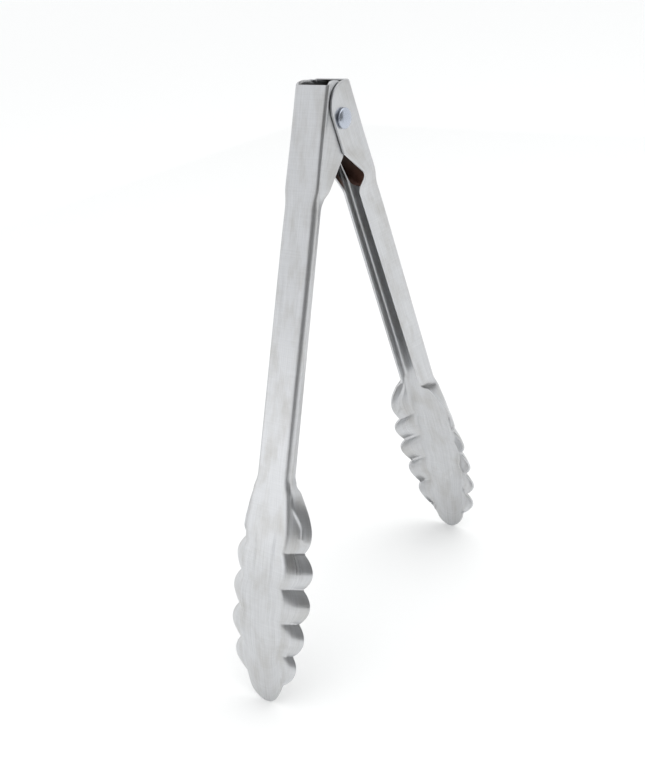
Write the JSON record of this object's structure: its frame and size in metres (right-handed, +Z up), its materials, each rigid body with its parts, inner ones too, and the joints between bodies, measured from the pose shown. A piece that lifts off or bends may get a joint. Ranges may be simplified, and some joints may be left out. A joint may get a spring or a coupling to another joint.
{
  "type": "kitchen tongs",
  "caption": "Spring-loaded kitchen tongs: two folded steel channel arms with scalloped, dished heads, hinged on a rivet at the top and held open by a leaf spring.",
  "frame": {"origin": "middle of the floor area under the two tips, with the open tongs standing on their tips", "axes": "+Z up from the tips to the hinge; Y along the rivet, with the rivet's domed head at -Y; the inner arm at -X and the outer arm at +X"},
  "size_m": [0.1894, 0.0488, 0.2942],
  "materials": {
    "brushed_stainless": "satin stainless sheet with fine mill and polishing grain",
    "rivet_steel": "bright domed rivet head",
    "tempered_spring_steel": "dark brown heat-tempered leaf with coppery highlights"
  },
  "bodies": {
    "inner_half": {"inner_arm": "brushed_stainless", "pivot_rivet": "rivet_steel", "leaf_spring": "tempered_spring_steel"},
    "outer_half": {"outer_arm": "brushed_stainless"}
  },
  "joints": [
    {"name": "squeeze", "type": "hinge", "parent": "inner_half", "child": "outer_half", "pos_m": [0, 0, 0.27672], "axis": [0, 1, 0], "range_deg": [0, 37.2], "stiffness_Nm_per_rad": 0.35, "springref_deg": -14.32, "deforming": ["leaf_spring"]}
  ]
}
